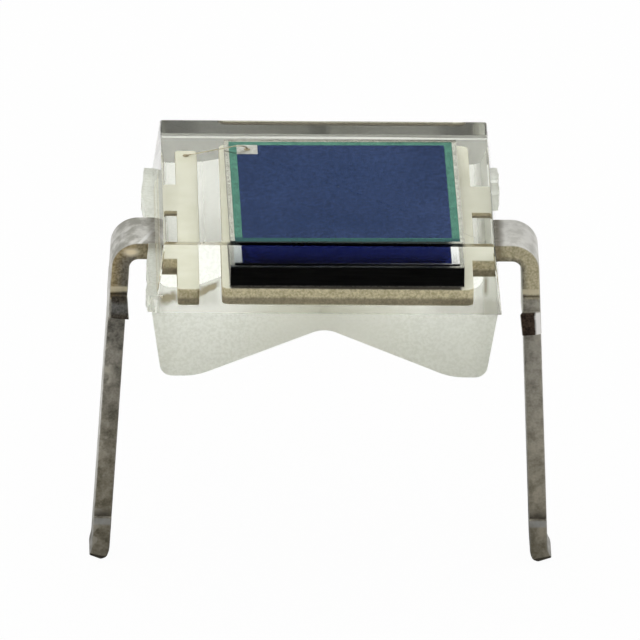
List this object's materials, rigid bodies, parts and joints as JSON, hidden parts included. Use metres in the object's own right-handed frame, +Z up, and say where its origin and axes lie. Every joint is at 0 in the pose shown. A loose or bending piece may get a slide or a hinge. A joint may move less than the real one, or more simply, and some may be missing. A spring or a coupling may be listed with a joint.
{
  "type": "photodiode",
  "caption": "Clear-moulded silicon photodiode: a square blue chip on a stamped lead frame under a flat window, with bent leads for a circuit board.",
  "frame": {"origin": "centre of the seating plane: level with the undersides of the feet, midway between the legs", "axes": "+Z up through the window, +X from the anode lead to the cathode lead, +Y across the body"},
  "size_m": [0.0058, 0.0038, 0.0051],
  "materials": {
    "clear_resin": "clear moulded resin, polished above the parting line and frosted below it",
    "plated_sheet": "plated stamped sheet with duller sheared edges",
    "silver_adhesive": "cured silver-filled adhesive",
    "silicon": "sawn silicon",
    "blue_coating": "smooth antireflection coating",
    "green_passivation": "smooth passivation film",
    "edge_metal": "thin evaporated metal",
    "pad_metal": "thin evaporated metal",
    "gold_wire": "bright drawn gold wire"
  },
  "bodies": {
    "root": {"resin_body": "clear_resin", "anode_lead": "plated_sheet", "cathode_lead": "plated_sheet", "die_attach": "silver_adhesive", "silicon_chip": "silicon", "active_area": "blue_coating", "passivation_frame": "green_passivation", "edge_ring": "edge_metal", "bond_pad": "pad_metal", "bond_wire": "gold_wire"}
  },
  "joints": []
}
